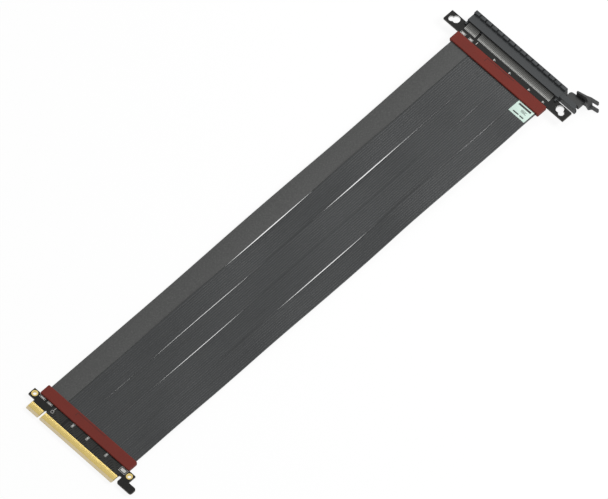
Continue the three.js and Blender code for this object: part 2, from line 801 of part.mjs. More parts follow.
const cables = new THREE.Group();
cables.add(ribbon('ribbon_power', 0, power_jacket_finish));
for (let index = 1; index < ribbon_count; index += 1) {
  cables.add(ribbon(`ribbon_signal_${index}`, index, signal_jacket_finish));
}
cables.add(ribbonLabel());

// The origin is below the middle of the two rigid ends, which the ribbons join.
const riser = new THREE.Group();
riser.add(male_end, socket_end);
const ends_box = new THREE.Box3().setFromObject(riser, true);
const ends_centre = ends_box.getCenter(new THREE.Vector3());
riser.add(cables);
riser.position.set(-ends_centre.x, -ends_centre.y, -ends_box.min.z);

export default riser;
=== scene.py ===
# %% [markdown]
# # A flat riser cable
# Five flat ribbons lie side by side between two red strain reliefs. A board with a gold card edge
# leaves one of them, and a board with a card socket and its retention latch leaves the other.
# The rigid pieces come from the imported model. This script gives them their finish and makes what is
# too fine for it: the ribbed jackets, the contacts, the plating, the copper tracks and the print.
# We load the model first, because every other place in this script is worked out from its pieces.

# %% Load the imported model
import math

import bmesh
import bpy
from mathutils import Matrix, Vector


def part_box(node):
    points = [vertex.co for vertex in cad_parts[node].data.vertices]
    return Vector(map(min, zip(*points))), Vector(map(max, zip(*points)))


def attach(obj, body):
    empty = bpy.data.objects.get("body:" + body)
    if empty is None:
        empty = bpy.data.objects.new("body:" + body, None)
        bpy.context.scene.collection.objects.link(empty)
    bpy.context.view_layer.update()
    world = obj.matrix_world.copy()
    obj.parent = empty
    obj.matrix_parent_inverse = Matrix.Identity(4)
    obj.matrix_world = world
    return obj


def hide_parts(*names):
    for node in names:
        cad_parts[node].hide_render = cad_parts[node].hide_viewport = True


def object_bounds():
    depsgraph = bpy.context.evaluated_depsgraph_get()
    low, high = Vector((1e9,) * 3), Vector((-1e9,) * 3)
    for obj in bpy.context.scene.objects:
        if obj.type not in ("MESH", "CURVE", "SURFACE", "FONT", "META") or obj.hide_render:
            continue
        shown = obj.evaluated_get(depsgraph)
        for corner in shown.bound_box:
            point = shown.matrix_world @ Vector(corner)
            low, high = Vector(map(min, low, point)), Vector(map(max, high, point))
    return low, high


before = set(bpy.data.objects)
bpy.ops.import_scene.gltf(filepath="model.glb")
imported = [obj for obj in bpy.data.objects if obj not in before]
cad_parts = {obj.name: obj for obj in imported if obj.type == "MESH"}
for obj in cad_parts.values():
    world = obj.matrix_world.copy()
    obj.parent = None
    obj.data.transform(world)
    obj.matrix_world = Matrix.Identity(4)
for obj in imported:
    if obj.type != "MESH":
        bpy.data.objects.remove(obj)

MM = 0.001
cad_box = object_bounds()

# %% [markdown]
# ## Camera
# The picture was taken from far away: lines that are parallel on the cable stay parallel in it.
# A very long lens gives that look and still lets other views work. The camera looks down at 60
# degrees, from the side of the card edge and the last ribbon.

# %% Camera
view_azimuth = math.radians(-44.7723)
view_elevation = math.radians(60.0)
view_target = Vector((-0.91, 0.50, 5.0)) * MM
view_distance = 16.4878
lens_length = 1400.0
sensor_width = 36.0

forward = Vector((
    -math.sin(view_azimuth) * math.cos(view_elevation),
    math.cos(view_azimuth) * math.cos(view_elevation),
    -math.sin(view_elevation),
))
camera_data = bpy.data.cameras.new("camera")
camera_data.lens = lens_length
camera_data.sensor_width = sensor_width
camera_data.clip_start = 1.0
camera_data.clip_end = 60.0
camera = bpy.data.objects.new("camera", camera_data)
camera.location = view_target - forward * view_distance
camera.rotation_euler = forward.to_track_quat("-Z", "Y").to_euler()
bpy.context.collection.objects.link(camera)
bpy.context.scene.camera = camera
bpy.context.scene.view_settings.view_transform = "Standard"
print("camera at", [round(v, 3) for v in camera.location])

# %% [markdown]
# ## Nodes
# Every finish in this script is a small tree of nodes. These helpers make a node, set its fields
# and fill its inputs: a plain value is written into the socket, and another node's output is linked.


# %% Node helpers
def fill_inputs(tree, node, values):
    """Fill inputs, by number or by name; a socket given as a value is linked."""
    for key, value in values.items():
        if isinstance(value, bpy.types.NodeSocket):
            tree.links.new(value, node.inputs[key])
        else:
            node.inputs[key].default_value = value


def add_node(tree, kind, fields=None, values=None):
    """Node with its fields set first and its inputs filled after that."""
    node = tree.nodes.new(kind)
    for field, value in (fields or {}).items():
        setattr(node, field, value)
    fill_inputs(tree, node, values or {})
    return node


def add_math(tree, operation, *values):
    """Result of a math node."""
    node = add_node(tree, "ShaderNodeMath", {"operation": operation}, dict(enumerate(values)))
    return node.outputs[0]


def map_range(tree, value, **ends):
    """Value carried from one range to another; an end that isn't given stays at 0 or 1."""
    named = {label.replace("_", " "): end for label, end in ends.items()}
    node = add_node(tree, "ShaderNodeMapRange", values={"Value": value, **named})
    return node.outputs["Result"]


def mix_colors(tree, share, first, second):
    """The first colour where the share is 0, and the second where it is 1."""
    colors = {"Factor": share, "A": first, "B": second}
    return add_node(tree, "ShaderNodeMix", {"data_type": "RGBA"}, colors).outputs["Result"]


def own_place(tree):
    """Place of the shaded point in the object's own space."""
    return add_node(tree, "ShaderNodeTexCoord").outputs["Object"]


def split_axes(tree, vector):
    """Outputs X, Y and Z of a vector."""
    return add_node(tree, "ShaderNodeSeparateXYZ", values={0: vector}).outputs


# %% [markdown]
# ## Studio
# The background of the picture is plain white. The floor and the world are white where the camera
# looks at them directly or in a reflection, and light the cable at a plain level otherwise.
# The floor keeps a part of its shading, so a soft shadow stays below the cable.

# %% White where it is seen
floor_white = 0.9
floor_shaded = 0.1
floor_plain = 0.8
world_light = 0.5


def seen_directly(tree):
    """Socket that is 1 for camera, glossy and transmission rays."""
    rays = add_node(tree, "ShaderNodeLightPath").outputs
    seen = add_math(tree, "MAXIMUM", rays["Is Camera Ray"], rays["Is Glossy Ray"])
    return add_math(tree, "MAXIMUM", seen, rays["Is Transmission Ray"])


world = bpy.data.worlds.new("studio_world")
world.use_nodes = True
bpy.context.scene.world = world
world_tree = world.node_tree
fill_inputs(world_tree, world_tree.nodes["Background"], {
    "Color": (1.0, 1.0, 1.0, 1.0),
    "Strength": map_range(world_tree, seen_directly(world_tree), To_Min=world_light, To_Max=1.0),
})

# %% Floor
floor_half = 4.0
floor_drop = 0.02 * MM

floor_material = bpy.data.materials.new("pale_floor")
floor_material.use_nodes = True
floor_tree = floor_material.node_tree
floor_tree.nodes.remove(floor_tree.nodes["Principled BSDF"])


def floor_diffuse(level):
    color = (level, level, level, 1.0)
    return add_node(floor_tree, "ShaderNodeBsdfDiffuse", values={"Color": color}).outputs[0]


floor_glow = add_node(floor_tree, "ShaderNodeEmission", values={"Strength": floor_white})
floor_seen = add_node(
    floor_tree, "ShaderNodeAddShader",
    values={0: floor_diffuse(floor_shaded), 1: floor_glow.outputs[0]})
floor_mix = add_node(floor_tree, "ShaderNodeMixShader", values={
    "Fac": seen_directly(floor_tree), 1: floor_diffuse(floor_plain), 2: floor_seen.outputs[0]})
fill_inputs(floor_tree, floor_tree.nodes["Material Output"], {"Surface": floor_mix.outputs[0]})

floor_mesh = bpy.data.meshes.new("floor")
floor_corners = [(-1, -1), (1, -1), (1, 1), (-1, 1)]
floor_mesh.from_pydata(
    [(x * floor_half, y * floor_half, cad_box[0][2] - floor_drop) for x, y in floor_corners],
    [],
    [(0, 1, 2, 3)],
)
floor_mesh.materials.append(floor_material)
floor = bpy.data.objects.new("floor", floor_mesh)
bpy.context.collection.objects.link(floor)
print("floor at", round(cad_box[0][2] - floor_drop, 6))


# %% Lamps
def soft_lamp(name, azimuth, elevation, distance, size, power):
    """Square lamp that looks at the cable; azimuth 0 is along +X and 90 along +Y."""
    data = bpy.data.lights.new(name, "AREA")
    data.shape = "SQUARE"
    data.size = size
    data.energy = power
    lamp = bpy.data.objects.new(name, data)
    across = math.cos(math.radians(elevation)) * distance
    lamp.location = (
        across * math.cos(math.radians(azimuth)),
        across * math.sin(math.radians(azimuth)),
        math.sin(math.radians(elevation)) * distance,
    )
    lamp.rotation_euler = (-lamp.location).to_track_quat("-Z", "Y").to_euler()
    bpy.context.collection.objects.link(lamp)


soft_lamp("key_lamp", azimuth=-42, elevation=46, distance=1.6, size=0.7, power=15.0)
soft_lamp("sheen_lamp", azimuth=22, elevation=50, distance=1.8, size=0.5, power=4.0)

# %% [markdown]
# ## A smooth curve through chosen points
# Ribbons, contacts and copper tracks all follow a line. We give a few points and let a
# centripetal Catmull-Rom curve run through them, because it passes exactly through each point and
# never makes a loop between two of them.


# %% Curves
shortest_knot = 1e-6


def knot_step(a, b):
    return max((b - a).length ** 0.5, shortest_knot)


def curve_point(before, start, end, after, share):
    """Point of the stretch from start to end; before and after shape its two ends."""
    d0, d1, d2 = knot_step(before, start), knot_step(start, end), knot_step(end, after)
    leave = ((start - before) / d0 - (end - before) / (d0 + d1) + (end - start) / d1) * d1
    arrive = ((end - start) / d1 - (after - start) / (d1 + d2) + (after - end) / d2) * d1
    square = (end - start) * 3 - leave * 2 - arrive
    cube = (start - end) * 2 + leave + arrive
    return start + leave * share + square * share ** 2 + cube * share ** 3


def smooth_curve(points, spacing):
    """Points at most about one spacing apart, on a curve through the given points."""
    points = [Vector(point) for point in points]
    ends = [points[0] * 2 - points[1], points[-1] * 2 - points[-2]]
    padded = [ends[0], *points, ends[1]]
    curve = [points[0]]
    for i in range(1, len(padded) - 2):
        before, start, end, after = padded[i - 1:i + 3]
        steps = max(1, math.ceil((end - start).length / spacing))
        curve += [curve_point(before, start, end, after, s / steps) for s in range(1, steps + 1)]
    return curve


def curve_length(points):
    return sum((b - a).length for a, b in zip(points, points[1:]))


# %% [markdown]
# ## Pieces from code
# Each piece starts as a bmesh: a set of corners, edges and faces that we fill by hand.
# One helper turns it into an object that rides with a body of the model, and one marks which edges
# stay sharp, so that curved faces look round and corners stay crisp.


# %% Piece helpers
def sharpen(bm, degrees=35.0):
    """Smooth every face, and keep each edge sharp that turns by more than the angle."""
    limit = math.radians(degrees)
    for face in bm.faces:
        face.smooth = True
    for edge in bm.edges:
        if len(edge.link_faces) == 2:
            edge.smooth = edge.calc_face_angle() < limit


def make_piece(name, bm, materials, body="riser"):
    """Object from a bmesh, in the row's frame, that rides on a body."""
    bmesh.ops.recalc_face_normals(bm, faces=bm.faces)
    sharpen(bm)
    mesh = bpy.data.meshes.new(name)
    bm.to_mesh(mesh)
    bm.free()
    for material in materials:
        mesh.materials.append(material)
    piece = bpy.data.objects.new(name, mesh)
    bpy.context.collection.objects.link(piece)
    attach(piece, body)
    print(name, "faces:", len(mesh.polygons))
    return piece


def join_rings(bm, rings, closed=False):
    """Faces between rings of corners: a closed row has no ends, an open one gets a face on each."""
    if not closed:
        bm.faces.new(rings[0][::-1])
        bm.faces.new(rings[-1])
    following = rings[1:] + (rings[:1] if closed else [])
    count = len(rings[0])
    for near, far in zip(rings, following):
        for k in range(count):
            after = (k + 1) % count
            bm.faces.new((near[k], near[after], far[after], far[k]))


def direction_at(path, i):
    """Direction of a path at one of its points, from its two neighbours."""
    return (path[min(i + 1, len(path) - 1)] - path[max(i - 1, 0)]).normalized()


def add_sweep(bm, path, section):
    """Sweep a closed section (across, up) along a path that stays in one plane along X and Z."""
    side = Vector((0, 1, 0))
    rings = []
    for i, point in enumerate(path):
        up = direction_at(path, i).cross(side)
        rings.append([bm.verts.new(point + side * across + up * rise) for across, rise in section])
    join_rings(bm, rings)


def add_flat_sweep(bm, points, section, spacing):
    """Sweep a section (across, up) along a smooth curve that lies flat."""
    path = smooth_curve(points, spacing)
    rings = []
    for i, point in enumerate(path):
        ahead = direction_at(path, i)
        side = Vector((-ahead.y, ahead.x, 0.0))
        rings.append([
            bm.verts.new(point + side * across + Vector((0, 0, rise))) for across, rise in section])
    join_rings(bm, rings)


def add_box(bm, low, high, bevel=0.0, material_index=0):
    """Box between two corners, with its edges rounded by bevel."""
    size = [b - a for a, b in zip(low, high)]
    middle = [(a + b) / 2 for a, b in zip(low, high)]
    place = Matrix.Translation(middle) @ Matrix.Diagonal((*size, 1.0))
    made = bmesh.ops.create_cube(bm, size=1.0, matrix=place)["verts"]
    faces = {face for vert in made for face in vert.link_faces}
    if bevel > 0:
        edges = list({edge for vert in made for edge in vert.link_edges})
        rounded = bmesh.ops.bevel(
            bm, geom=edges, offset=bevel, segments=2, profile=0.5, affect="EDGES")
        faces = {face for face in faces if face.is_valid} | set(rounded["faces"])
    for face in faces:
        face.material_index = material_index


def layer(face_z, side, sunk, rise):
    """Heights of a layer on a face that looks up (side 1) or down (side -1)."""
    return sorted((face_z - side * sunk, face_z + side * rise))


def rectangle(half_wide, half_tall):
    """Closed section of a flat strip."""
    return [
        (half_wide, -half_tall), (half_wide, half_tall),
        (-half_wide, half_tall), (-half_wide, -half_tall),
    ]


# %% [markdown]
# ## Effects that several finishes share
# Moulded plastic, cable jacket and solder mask are all dark and plain, and differ in their grain,
# in how their tone varies and in how much dust lies on them. Each of these effects is one node
# group, built once and placed in each material with its own values.


# %% Group helper
def start_group(name, inputs, outputs):
    """Empty shader group with its sockets; gives the tree and its inner ends."""
    tree = bpy.data.node_groups.new(name, "ShaderNodeTree")
    for label, kind, value in inputs:
        tree.interface.new_socket(label, in_out="INPUT", socket_type=kind).default_value = value
    for label, kind in outputs:
        tree.interface.new_socket(label, in_out="OUTPUT", socket_type=kind)
    entry = tree.nodes.new("NodeGroupInput")
    result = tree.nodes.new("NodeGroupOutput")
    return tree, entry.outputs, result


def place_group(tree, group, **values):
    """Outputs of a group node in a tree, with its inputs filled."""
    named = {label.replace("_", " "): value for label, value in values.items()}
    return add_node(tree, "ShaderNodeGroup", {"node_tree": group}, named).outputs


def stretched_noise(tree, ends, **values):
    """Noise over the object's own space, at the group's scale and stretch."""
    stretched = add_node(
        tree, "ShaderNodeVectorMath", {"operation": "MULTIPLY"},
        {0: own_place(tree), 1: ends["Stretch"]})
    inputs = {"Vector": stretched.outputs[0], "Scale": ends["Scale"], **values}
    return add_node(tree, "ShaderNodeTexNoise", values=inputs).outputs["Fac"]


# %% Fine grain: the texture of a mould or a rubber surface, as a height
grain_group, grain_in, grain_end = start_group(
    "fine_grain",
    [("Scale", "NodeSocketFloat", 1.0), ("Stretch", "NodeSocketVector", (1.0, 1.0, 1.0))],
    [("Height", "NodeSocketFloat")],
)
fill_inputs(grain_group, grain_end, {
    "Height": stretched_noise(grain_group, grain_in, Detail=3.0, Roughness=0.65)})

# %% Uneven tone: one colour that drifts a little lighter and darker over the surface
tone_group, tone_in, tone_end = start_group(
    "uneven_tone",
    [
        ("Color", "NodeSocketColor", (0.5, 0.5, 0.5, 1.0)),
        ("Amount", "NodeSocketFloat", 0.1),
        ("Scale", "NodeSocketFloat", 60.0),
        ("Stretch", "NodeSocketVector", (1.0, 1.0, 1.0)),
    ],
    [("Color", "NodeSocketColor"), ("Mask", "NodeSocketFloat")],
)
noise_middle = 0.5
tone_reach = 4.0
tone_drift = stretched_noise(tone_group, tone_in, Detail=4.0)
tone_centred = add_math(tone_group, "SUBTRACT", tone_drift, noise_middle)
tone_amount = add_math(tone_group, "MULTIPLY", tone_in["Amount"], tone_reach)
tone_strength = add_math(tone_group, "MULTIPLY_ADD", tone_centred, tone_amount, 1.0)
tone_result = add_node(
    tone_group, "ShaderNodeVectorMath", {"operation": "SCALE"},
    {0: tone_in["Color"], "Scale": tone_strength})
fill_inputs(tone_group, tone_end, {"Color": tone_result.outputs[0], "Mask": tone_drift})

# %% Settled dust: a pale film in specks, only on faces that look up
dust_group, dust_in, dust_end = start_group(
    "settled_dust",
    [
        ("Color", "NodeSocketColor", (0.5, 0.5, 0.5, 1.0)),
        ("Dust", "NodeSocketColor", (0.32, 0.31, 0.29, 1.0)),
        ("Amount", "NodeSocketFloat", 0.1),
    ],
    [("Color", "NodeSocketColor")],
)


def normal_z(tree):
    """How far a face looks up, from -1 to 1."""
    return split_axes(tree, add_node(tree, "ShaderNodeNewGeometry").outputs["Normal"])["Z"]


dust_noise = add_node(dust_group, "ShaderNodeTexNoise", values={
    "Vector": own_place(dust_group), "Scale": 900.0, "Detail": 5.0, "Roughness": 0.8})
dust_specks = map_range(dust_group, dust_noise.outputs["Fac"], From_Min=0.52, From_Max=0.78)
dust_up = map_range(dust_group, normal_z(dust_group), From_Min=0.5, From_Max=1.0)
dust_lies = add_math(dust_group, "MULTIPLY", dust_specks, dust_up)
dust_share = add_math(dust_group, "MULTIPLY", dust_lies, dust_in["Amount"])
fill_inputs(dust_group, dust_end, {
    "Color": mix_colors(dust_group, dust_share, dust_in["Color"], dust_in["Dust"])})
print("groups:", [group.name for group in bpy.data.node_groups])


# %% [markdown]
# ## Plain finishes
# A matte plastic is one recipe with different values: a colour with an uneven tone and a little
# dust, a grain that feeds a bump, and a roughness that follows the same unevenness.


# %% Matte finishes
def start_material(name):
    """New material, its node tree and its shader."""
    material = bpy.data.materials.new(name)
    material.use_nodes = True
    return material, material.node_tree, material.node_tree.nodes["Principled BSDF"]


def near_value(tree, mask, middle, spread):
    """Value that follows a mask within a spread to each side of its middle."""
    return map_range(tree, mask, To_Min=middle - spread, To_Max=middle + spread)


def bumped(tree, height, bump):
    """Normal of a surface with a relief; bump is its height in mm."""
    relief = {"Strength": 1.0, "Distance": bump * MM, "Height": height}
    return add_node(tree, "ShaderNodeBump", values=relief).outputs["Normal"]


matte_spread = 0.08


def matte_finish(name, color, roughness, grain, bump, tone=0.12, tone_scale=80.0,
                 stretch=(1.0, 1.0, 1.0), dust=0.06, specular=0.35):
    """Matte material; grain is the size of its grain in mm and bump the height of it in mm."""
    material, tree, shader = start_material(name)
    toned = place_group(
        tree, tone_group, Color=(*color, 1.0), Amount=tone, Scale=tone_scale, Stretch=stretch)
    dusty = place_group(tree, dust_group, Color=toned["Color"], Amount=dust)
    grained = place_group(tree, grain_group, Scale=1.0 / (grain * MM), Stretch=stretch)
    fill_inputs(tree, shader, {
        "Base Color": dusty["Color"],
        "Roughness": near_value(tree, toned["Mask"], roughness, matte_spread),
        "Normal": bumped(tree, grained["Height"], bump),
        "Specular IOR Level": specular,
    })
    return material


power_jacket = matte_finish(
    "smooth_jacket", (0.058, 0.059, 0.058), roughness=0.6, grain=0.35, bump=0.02, tone=0.2,
    tone_scale=900.0, dust=0.1)
signal_jacket = matte_finish(
    "ribbed_jacket", (0.027, 0.029, 0.030), roughness=0.36, grain=0.3, bump=0.01, tone=0.12,
    tone_scale=500.0, stretch=(0.04, 1.0, 1.0), dust=0.04)
relief_plastic = matte_finish(
    "red_moulding", (0.150, 0.021, 0.014), roughness=0.6, grain=0.25, bump=0.02, tone=0.08,
    dust=0.02, specular=0.2)
housing_plastic = matte_finish(
    "black_moulding", (0.034, 0.037, 0.039), roughness=0.5, grain=0.2, bump=0.012, tone=0.1)
latch_plastic = matte_finish(
    "latch_moulding", (0.034, 0.035, 0.035), roughness=0.5, grain=0.2, bump=0.012, tone=0.1)
print("matte finishes:", len(bpy.data.materials))

# %% [markdown]
# ## Ribbons
# A signal ribbon holds pairs of fine wires side by side in one jacket, so its faces are ribbed
# along its whole length; the power ribbon is smooth. Real ribbons never lie quite flat: each keeps
# a slow wave of its own, and where two neighbours differ in height a sliver of the white floor
# shows between them. We sweep a true section along each route.

# %% Routes of the ribbons
male_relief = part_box("male_strain_relief")
socket_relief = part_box("socket_strain_relief")
male_face_x = male_relief[1][0]
socket_face_x = socket_relief[0][0]
male_plane_z = (male_relief[0][2] + male_relief[1][2]) / 2
socket_plane_z = (socket_relief[0][2] + socket_relief[1][2]) / 2

ribbon_names = [
    "ribbon_power", "ribbon_signal_1", "ribbon_signal_2", "ribbon_signal_3", "ribbon_signal_4"]
ribbon_width = 16.6 * MM
ribbon_thick = 0.95 * MM
ribbon_lead = 12.0 * MM
ribbon_tail = 4.3 * MM
ribbon_sag = 1.0 * MM
# Waves: height of each ribbon above its sagging line, at even steps of the way, in mm.
slack_heights = [
    [0.0, -0.1, -0.25, -0.3, -0.1, 0.4, 0.9, 1.1, 0.85, 0.3, -0.4, -0.85, -0.75, -0.4, -0.1],
    [0.3, 0.3, 0.9, 1.3, 1.2, 0.5, -0.4, -0.8, -0.5, 0.4, 1.0, 0.9, 0.4, 0.1, 0.3],
    [0.0, 0.2, 0.4, 0.45, 0.2, -0.1, 0.0, 0.2, 0.1, -0.4, -0.9, -0.8, -0.2, -0.1, 0.1],
    [0.0, -0.1, -0.6, -0.7, -0.4, 0.2, 0.6, 0.8, 0.6, 0.1, -0.2, -0.1, 0.1, 0.0, -0.2],
    [0.5, 0.1, -0.4, -0.2, 0.3, 0.2, -0.4, -0.8, -0.75, -0.1, 0.95, 0.9, 0.3, -0.3, -0.55],
]


def ribbon_route(index):
    """Chosen points of one ribbon, from inside one strain relief to inside the other."""
    low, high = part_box(ribbon_names[index])
    y = (low[1] + high[1]) / 2
    wave_start = male_face_x + ribbon_lead
    wave_end = socket_face_x - ribbon_lead
    points = [(x, y, male_plane_z) for x in (male_face_x - ribbon_tail, male_face_x, wave_start)]
    heights = slack_heights[index]
    for i, height in enumerate(heights):
        share = (i + 1) / (len(heights) + 1)
        x = wave_start + (wave_end - wave_start) * share
        line_z = male_plane_z + (socket_plane_z - male_plane_z) * share
        sag = 4 * ribbon_sag * share * (1 - share)
        points.append((x, y, line_z - sag + height * MM))
    points += [
        (x, y, socket_plane_z) for x in (wave_end, socket_face_x, socket_face_x + ribbon_tail)]
    return points


print("route points:", len(ribbon_route(0)))

# %% Sections of the ribbons
rib_count = 10
rib_depth = 0.15 * MM
rib_steps = 6
edge_radius = 0.3 * MM
edge_steps = 3


def ribbed_section():
    """Closed section with a row of round ribs above and below, from edge to edge."""
    pitch = ribbon_width / rib_count
    valley = ribbon_thick / 2 - rib_depth
    upper = []
    for rib in range(rib_count):
        middle = -ribbon_width / 2 + pitch * (rib + 0.5)
        for step in range(0 if rib == 0 else 1, rib_steps + 1):
            angle = math.pi * (step / rib_steps - 0.5)
            across = middle + pitch / 2 * math.sin(angle)
            upper.append((across, valley + rib_depth * math.cos(angle)))
    return upper[::-1] + [(across, -rise) for across, rise in upper]


def smooth_section():
    """Closed section with flat faces and round edges."""
    corners = []
    for sx, sz in ((1, 1), (-1, 1), (-1, -1), (1, -1)):
        for step in range(edge_steps + 1):
            angle = math.radians(90 * step / edge_steps)
            turn = angle if sx * sz > 0 else math.radians(90) - angle
            corners.append((
                sx * (ribbon_width / 2 - edge_radius + edge_radius * math.cos(turn)),
                sz * (ribbon_thick / 2 - edge_radius + edge_radius * math.sin(turn)),
            ))
    return corners


# %% Ribbons
station_step = 2.6 * MM
for index, name in enumerate(ribbon_names):
    path = smooth_curve(ribbon_route(index), station_step)
    mesh = bmesh.new()
    add_sweep(mesh, path, smooth_section() if index == 0 else ribbed_section())
    material = power_jacket if index == 0 else signal_jacket
    ribbon = make_piece(name + "_jacket", mesh, [material])
    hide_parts(name)
    print(name, "length", round(curve_length(path), 4))

# %% Label
label_paper = matte_finish(
    "label_paper", (0.62, 0.78, 0.70), roughness=0.55, grain=0.3, bump=0.01, tone=0.04, dust=0.0)
label_ink = matte_finish(
    "label_ink", (0.03, 0.035, 0.033), roughness=0.5, grain=0.3, bump=0.005, dust=0.0)
label_low, label_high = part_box("ribbon_label")
ink_thick = 0.02 * MM
sheet_bevel = 0.04 * MM
# Each bar: its middle from the label's lower corner and its size, along X and Y, in mm.
ink_bars = [
    (8.9, 7.6, 1.5, 11.6),
    (6.6, 5.9, 0.35, 5.2),
    (5.8, 6.3, 0.35, 4.2),
    (5.0, 5.7, 0.35, 5.0),
    (2.0, 9.9, 1.0, 5.2),
    (2.0, 4.4, 1.0, 3.6),
]
label_mesh = bmesh.new()
add_box(label_mesh, label_low, label_high, bevel=sheet_bevel)
label = make_piece("label_sheet", label_mesh, [label_paper])
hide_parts("ribbon_label")
ink_mesh = bmesh.new()
for middle_x, middle_y, size_x, size_y in ink_bars:
    add_box(
        ink_mesh,
        (label_low[0] + (middle_x - size_x / 2) * MM,
         label_low[1] + (middle_y - size_y / 2) * MM,
         label_high[2] - ink_thick / 2),
        (label_low[0] + (middle_x + size_x / 2) * MM,
         label_low[1] + (middle_y + size_y / 2) * MM,
         label_high[2] + ink_thick / 2),
    )
label_print = make_piece("label_bars", ink_mesh, [label_ink])

# %% [markdown]
# ## Rounding the moulded pieces
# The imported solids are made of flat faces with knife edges. A real moulding has a small radius on
# every edge, which catches the light as a thin line. We first dissolve the flat triangles into
# whole faces, then bevel what is left, and smooth what turns only a little.

# %% Smooth by angle, as a geometry node group
smooth_limit = math.radians(32)
smooth_tree = bpy.data.node_groups.new("smooth_shallow_edges", "GeometryNodeTree")
for direction in ("INPUT", "OUTPUT"):
    smooth_tree.interface.new_socket(
        "Geometry", in_out=direction, socket_type="NodeSocketGeometry")
smooth_entry = add_node(smooth_tree, "NodeGroupInput")
smooth_faces = add_node(
    smooth_tree, "GeometryNodeSetShadeSmooth", {"domain": "FACE"},
    {"Geometry": smooth_entry.outputs[0]})
edge_angle = add_node(smooth_tree, "GeometryNodeInputMeshEdgeAngle")
edge_steep = add_node(
    smooth_tree, "FunctionNodeCompare", {"operation": "GREATER_THAN"},
    {"A": edge_angle.outputs["Unsigned Angle"], "B": smooth_limit})
smooth_edges = add_node(smooth_tree, "GeometryNodeSetShadeSmooth", {"domain": "EDGE"}, {
    "Geometry": smooth_faces.outputs[0],
    "Selection": edge_steep.outputs["Result"],
    "Shade Smooth": False,
})
add_node(smooth_tree, "NodeGroupOutput", values={0: smooth_edges.outputs[0]})

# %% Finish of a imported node
flat_limit = math.radians(1)
edge_limit = math.radians(40)


def finish_node(name, material, edge_radius_mm):
    """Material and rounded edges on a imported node; the mesh itself stays as it is."""
    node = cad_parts[name]
    if node.material_slots:
        for material_slot in node.material_slots:
            material_slot.material = material
    else:
        node.data.materials.append(material)
    flat = node.modifiers.new("whole_faces", "DECIMATE")
    flat.decimate_type = "DISSOLVE"
    flat.angle_limit = flat_limit
    round_edges = node.modifiers.new("edge_radius", "BEVEL")
    round_edges.width = edge_radius_mm * MM
    round_edges.segments = 2
    round_edges.limit_method = "ANGLE"
    round_edges.angle_limit = edge_limit
    round_edges.use_clamp_overlap = True
    shading = node.modifiers.new("smooth_shallow_edges", "NODES")
    shading.node_group = smooth_tree


for name in ("male_strain_relief", "socket_strain_relief"):
    finish_node(name, relief_plastic, edge_radius_mm=0.1)
finish_node("socket_housing", housing_plastic, edge_radius_mm=0.12)
finish_node("retention_latch", latch_plastic, edge_radius_mm=0.15)

# %% [markdown]
# ## Boards
# A board is woven glass in resin under a dark solder mask. The weave shows as a very fine bump.
# The mask covers only the faces: on the cut edges the bare laminate shows, and at the bevelled tip
# of the card edge it is a pale cream. One node group tells faces from cut edges for both boards.

# %% Faces against cut edges
faces_group, faces_in, faces_end = start_group(
    "faces_and_edges",
    [
        ("Face Color", "NodeSocketColor", (0.03, 0.03, 0.03, 1.0)),
        ("Edge Color", "NodeSocketColor", (0.2, 0.18, 0.12, 1.0)),
        ("Level From", "NodeSocketFloat", 0.985),
    ],
    [("Color", "NodeSocketColor")],
)
faces_slope = add_math(faces_group, "ABSOLUTE", normal_z(faces_group))
faces_level = add_math(faces_group, "GREATER_THAN", faces_slope, faces_in["Level From"])
fill_inputs(faces_group, faces_end, {
    "Color": mix_colors(faces_group, faces_level, faces_in["Edge Color"], faces_in["Face Color"])})

# %% Solder mask
mask_color = (0.009, 0.009, 0.0085)
track_color = (0.028, 0.028, 0.026)
cut_color = (0.05, 0.045, 0.035)
male_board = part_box("male_board")
tip_x = male_board[0][0]
hook_gap = 1.0 * MM
tongue_low_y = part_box("contact_strip_upper_long")[0][1] - hook_gap
finger_zone = 6.7 * MM
bevel_zone = 2.0 * MM
amber_resin = (0.50, 0.38, 0.14, 1.0)
bare_core = (0.72, 0.60, 0.38, 1.0)
# How far each colour of the tongue reaches from its tip; a later one covers the one before it.
tongue_zones = [(finger_zone, amber_resin), (bevel_zone, bare_core)]
mask_roughness = 0.42
mask_specular = 0.16
mask_dust = 0.05
weave_scale = 2200.0
weave_bump = 0.006


def board_finish(name, face_color, edge_color, zones=()):
    """Solder mask on the faces, laminate on the cut edges, and zones behind the card edge's tip."""
    material, tree, shader = start_material(name)
    toned = place_group(tree, tone_group, Color=(*face_color, 1.0), Amount=0.12, Scale=250.0)
    color = place_group(
        tree, faces_group, Face_Color=toned["Color"], Edge_Color=(*edge_color, 1.0))["Color"]
    if zones:
        axes = split_axes(tree, own_place(tree))
        off_hook = add_math(tree, "GREATER_THAN", axes["Y"], tongue_low_y)
    for reach, zone_color in zones:
        near_tip = add_math(tree, "LESS_THAN", axes["X"], tip_x + reach)
        share = add_math(tree, "MULTIPLY", near_tip, off_hook)
        color = mix_colors(tree, share, color, zone_color)
    weave = place_group(tree, grain_group, Scale=weave_scale)
    fill_inputs(tree, shader, {
        "Base Color": place_group(tree, dust_group, Color=color, Amount=mask_dust)["Color"],
        "Normal": bumped(tree, weave["Height"], weave_bump),
        "Roughness": mask_roughness,
        "Specular IOR Level": mask_specular,
    })
    return material


male_mask = board_finish("card_edge_mask", mask_color, cut_color, tongue_zones)
socket_mask = board_finish("socket_board_mask", mask_color, cut_color)
finish_node("male_board", male_mask, edge_radius_mm=0.06)
finish_node("socket_board", socket_mask, edge_radius_mm=0.06)

# %% [markdown]
# ## Metal
# Gold on the card edge is a thin bright plating, and the contacts are tin-plated springs that look
# duller. Both are metals: their colour is that of what they reflect, so the unevenness goes into
# the roughness and a very fine bump more than into the colour.


